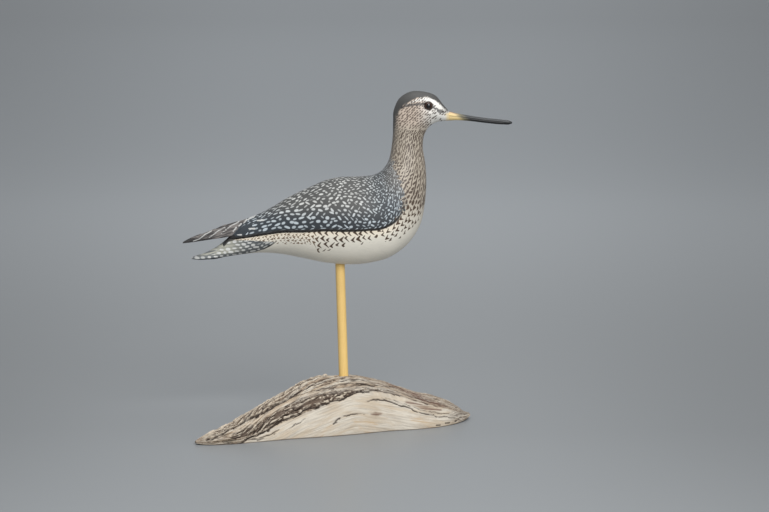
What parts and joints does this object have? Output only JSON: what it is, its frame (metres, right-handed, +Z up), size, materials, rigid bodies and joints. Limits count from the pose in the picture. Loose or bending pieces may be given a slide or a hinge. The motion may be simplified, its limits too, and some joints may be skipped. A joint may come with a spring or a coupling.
{
  "type": "yellowlegs decoy",
  "caption": "Carved and painted wooden shorebird decoy standing on a dowel leg in a piece of weathered driftwood.",
  "frame": {"origin": "on the flat underside of the driftwood, straight below the foot of the leg", "axes": "+X the way the bird faces, +Y its left side, +Z up"},
  "size_m": [0.3283, 0.1667, 0.3393],
  "materials": {
    "painted_wood": "satin paint",
    "bill_paint": "satin paint",
    "glass_eye": "polished",
    "leg_paint": "satin paint",
    "driftwood": "weathered, bare"
  },
  "bodies": {
    "root": {"body": "painted_wood", "bill": "bill_paint", "eye_right": "glass_eye", "eye_left": "glass_eye", "leg": "leg_paint", "base": "driftwood"}
  },
  "joints": []
}
